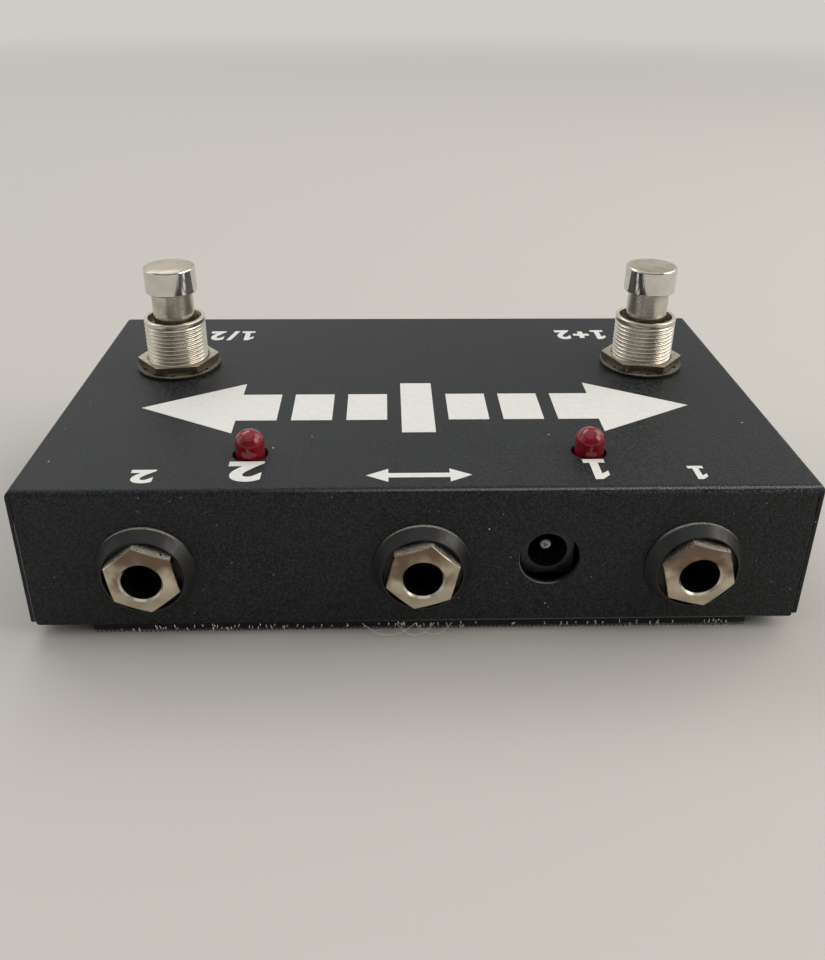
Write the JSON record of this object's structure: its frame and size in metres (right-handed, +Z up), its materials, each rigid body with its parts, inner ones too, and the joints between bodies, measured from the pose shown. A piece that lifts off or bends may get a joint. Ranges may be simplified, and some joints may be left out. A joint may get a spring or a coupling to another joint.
{
  "type": "two-button foot selector",
  "caption": "Low black folded-steel foot selector box with latching push switches, jack sockets, a power socket and red indicator lamps.",
  "frame": {"origin": "on the surface the box stands on, under the middle of the cover", "axes": "+Z up, +X to the right as seen from the socket side, which faces -Y; the foot switches stand towards +Y"},
  "size_m": [0.13, 0.0819, 0.05],
  "materials": {
    "powder_coat": "fine textured black powder coat, semi-matt",
    "black_steel": "black, semi-gloss",
    "zinc_steel": "bright zinc",
    "hook_tape": "black hook tape",
    "nickel": "bright nickel",
    "chrome": "polished, satin top",
    "spring_steel": "bare spring steel",
    "blue_plastic": "moulded",
    "black_plastic": "moulded",
    "brown_laminate": "paper laminate",
    "green_laminate": "solder mask over glass laminate",
    "tinned_copper": "tinned",
    "red_lens": "clear red resin",
    "resistor_body": "lacquered",
    "battery_case": "printed sleeve, plain",
    "foam": "soft foam",
    "lead_sheath": "soft insulation"
  },
  "bodies": {
    "box": {"cover_shell": "powder_coat", "base_plate": "powder_coat", "base_screws": "black_steel", "corner_brackets": "zinc_steel", "hook_tapes": "hook_tape", "left_bushing": "nickel", "left_return_spring": "spring_steel", "left_dress_nut": "nickel", "left_tooth_washer": "nickel", "left_backing_nut": "nickel", "left_switch_frame": "zinc_steel", "left_switch_case": "blue_plastic", "left_terminal_board": "brown_laminate", "left_solder_lugs": "tinned_copper", "right_bushing": "nickel", "right_return_spring": "spring_steel", "right_dress_nut": "nickel", "right_tooth_washer": "nickel", "right_backing_nut": "nickel", "right_switch_frame": "zinc_steel", "right_switch_case": "blue_plastic", "right_terminal_board": "brown_laminate", "right_solder_lugs": "tinned_copper", "left_jack_body": "black_plastic", "left_cone_washer": "black_plastic", "left_ferrule_nut": "nickel", "left_jack_terminals": "tinned_copper", "middle_jack_body": "black_plastic", "middle_cone_washer": "black_plastic", "middle_ferrule_nut": "nickel", "middle_jack_terminals": "tinned_copper", "right_jack_body": "black_plastic", "right_cone_washer": "black_plastic", "right_ferrule_nut": "nickel", "right_jack_terminals": "tinned_copper", "power_socket": "black_plastic", "power_pin": "nickel", "left_lamp": "red_lens", "right_lamp": "red_lens", "lamp_wires": "tinned_copper", "circuit_board": "green_laminate", "resistors": "resistor_body", "capacitors": "black_plastic", "transistors": "black_plastic", "battery": "battery_case", "battery_snap": "black_plastic", "foam_pad": "foam", "left_switch_leads": "lead_sheath", "right_switch_leads": "lead_sheath", "battery_leads": "lead_sheath"},
    "left_button": {"left_button": "chrome"},
    "left_rocker": {"left_contact_rocker": "tinned_copper"},
    "right_button": {"right_button": "chrome"},
    "right_rocker": {"right_contact_rocker": "tinned_copper"},
    "left_tip_contact": {"left_tip_spring": "spring_steel"},
    "middle_tip_contact": {"middle_tip_spring": "spring_steel"},
    "right_tip_contact": {"right_tip_spring": "spring_steel"},
    "power_contact": {"power_spring": "spring_steel"}
  },
  "joints": [
    {"name": "left_press", "type": "slide", "parent": "box", "child": "left_button", "axis": [0, 0, 1], "range_m": [-0.004, 0], "stiffness_N_per_m": 2500, "springref_m": 0.003, "deforming": ["left_return_spring"]},
    {"name": "right_press", "type": "slide", "parent": "box", "child": "right_button", "axis": [0, 0, 1], "range_m": [-0.004, 0], "stiffness_N_per_m": 2500, "springref_m": 0.003, "deforming": ["right_return_spring"]},
    {"name": "left_changeover", "type": "hinge", "parent": "box", "child": "left_rocker", "pos_m": [-0.04745, 0.011, 0.0125], "axis": [1, 0, 0], "range_deg": [-22.62, 0]},
    {"name": "right_changeover", "type": "hinge", "parent": "box", "child": "right_rocker", "pos_m": [0.04745, 0.011, 0.0125], "axis": [1, 0, 0], "range_deg": [-22.62, 0]},
    {"name": "left_tip_bend", "type": "hinge", "parent": "box", "child": "left_tip_contact", "pos_m": [-0.0499, -0.028, 0.0138], "axis": [0, 0, 1], "range_deg": [0, 4], "stiffness_Nm_per_rad": 0.2},
    {"name": "middle_tip_bend", "type": "hinge", "parent": "box", "child": "middle_tip_contact", "pos_m": [-0.0048, -0.028, 0.0138], "axis": [0, 0, 1], "range_deg": [0, 4], "stiffness_Nm_per_rad": 0.2},
    {"name": "right_tip_bend", "type": "hinge", "parent": "box", "child": "right_tip_contact", "pos_m": [0.0403, -0.028, 0.0138], "axis": [0, 0, 1], "range_deg": [0, 4], "stiffness_Nm_per_rad": 0.2},
    {"name": "power_contact_bend", "type": "hinge", "parent": "box", "child": "power_contact", "pos_m": [0.0215, -0.02715, 0.01135], "axis": [1, 0, 0], "range_deg": [0, 4], "stiffness_Nm_per_rad": 0.1}
  ]
}
